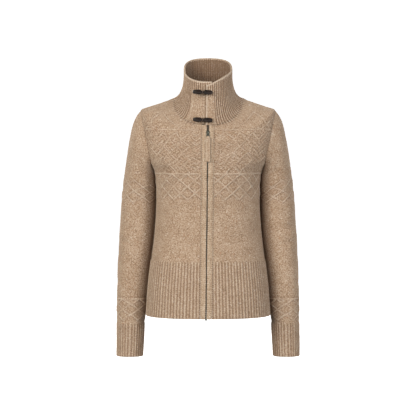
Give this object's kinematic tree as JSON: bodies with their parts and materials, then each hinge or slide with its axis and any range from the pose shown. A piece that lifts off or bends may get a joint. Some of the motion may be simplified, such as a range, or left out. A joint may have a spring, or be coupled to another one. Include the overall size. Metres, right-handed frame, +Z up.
{
  "type": "cable knit cardigan",
  "caption": "Worn, hollow knitted cardigan with a ribbed stand collar, front zip with a knitted pull, toggles on the collar, a cabled yoke and ribbed hem and cuffs.",
  "frame": {"origin": "middle of the neck opening, level with the inner ends of the shoulders, where a wearer holds the garment up", "axes": "+Z up, the front faces -Y, +X is the viewer's right when looking at the front"},
  "size_m": [0.4808, 0.2323, 0.778],
  "materials": {
    "oatmeal_wool": "brushed marl wool knit",
    "zip_tape": "woven polyester",
    "dark_metal": "dark gunmetal plating",
    "dark_horn": "polished dark horn, carved",
    "brown_cord": "waxed round cord"
  },
  "bodies": {
    "cardigan": {"back": "oatmeal_wool", "front_left": "oatmeal_wool", "front_right": "oatmeal_wool", "sleeve_left": "oatmeal_wool", "sleeve_right": "oatmeal_wool", "collar": "oatmeal_wool", "binding_left": "oatmeal_wool", "binding_right": "oatmeal_wool", "tape_left": "zip_tape", "tape_right": "zip_tape", "zip_chain": "dark_metal", "zip_open_left": "dark_metal", "zip_open_right": "dark_metal", "zip_end": "dark_metal", "slider": "dark_metal", "toggle_upper": "dark_horn", "toggle_lower": "dark_horn", "loop_upper": "brown_cord", "loop_lower": "brown_cord"},
    "zip_pull": {"pull_link": "dark_metal", "pull_strip": "oatmeal_wool"}
  },
  "joints": [
    {"name": "pull_swing", "type": "hinge", "parent": "cardigan", "child": "zip_pull", "pos_m": [-0.00023, -0.09823, -0.08802], "axis": [-1, 0, 0], "range_deg": [0, 140]}
  ]
}
